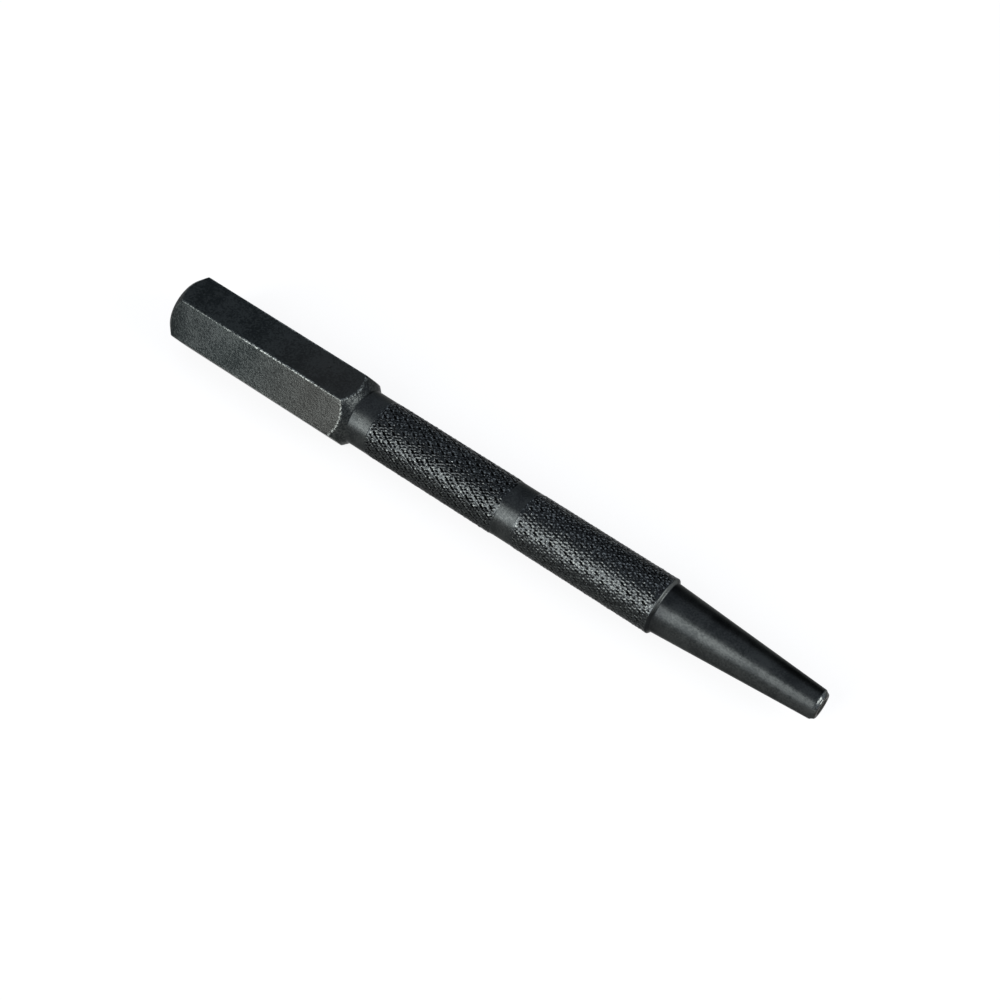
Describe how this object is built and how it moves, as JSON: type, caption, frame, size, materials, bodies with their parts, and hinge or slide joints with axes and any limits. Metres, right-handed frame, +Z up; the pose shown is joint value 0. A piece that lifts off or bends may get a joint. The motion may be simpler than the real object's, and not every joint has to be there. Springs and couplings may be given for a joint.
{
  "type": "nail setter",
  "caption": "Hand punch with a chamfered hexagonal head, knurled round grips either side of a plain band, and a tapered shank with a cupped tip for sinking nail heads.",
  "frame": {"origin": "below the middle of the tool's length, on the surface that a flat of the head lies on", "axes": "+X along the tool from the striking face to the tip, +Z up and square to the upper flat of the head, +Y across two corners of the head"},
  "size_m": [0.102, 0.011, 0.0095],
  "materials": {
    "black_steel": "black oxide, matt and finely grained, rubbed to bare steel along the edges",
    "satin_steel": "black oxide, satin",
    "knurled_steel": "black oxide over a diamond knurl"
  },
  "bodies": {
    "root": {"striking_end": "black_steel", "hex_head": "black_steel", "head_shoulder": "black_steel", "neck": "satin_steel", "rear_grip": "knurled_steel", "plain_band": "satin_steel", "front_grip": "knurled_steel", "grip_shoulder": "satin_steel", "tapered_shank": "satin_steel", "tip": "satin_steel"}
  },
  "joints": []
}
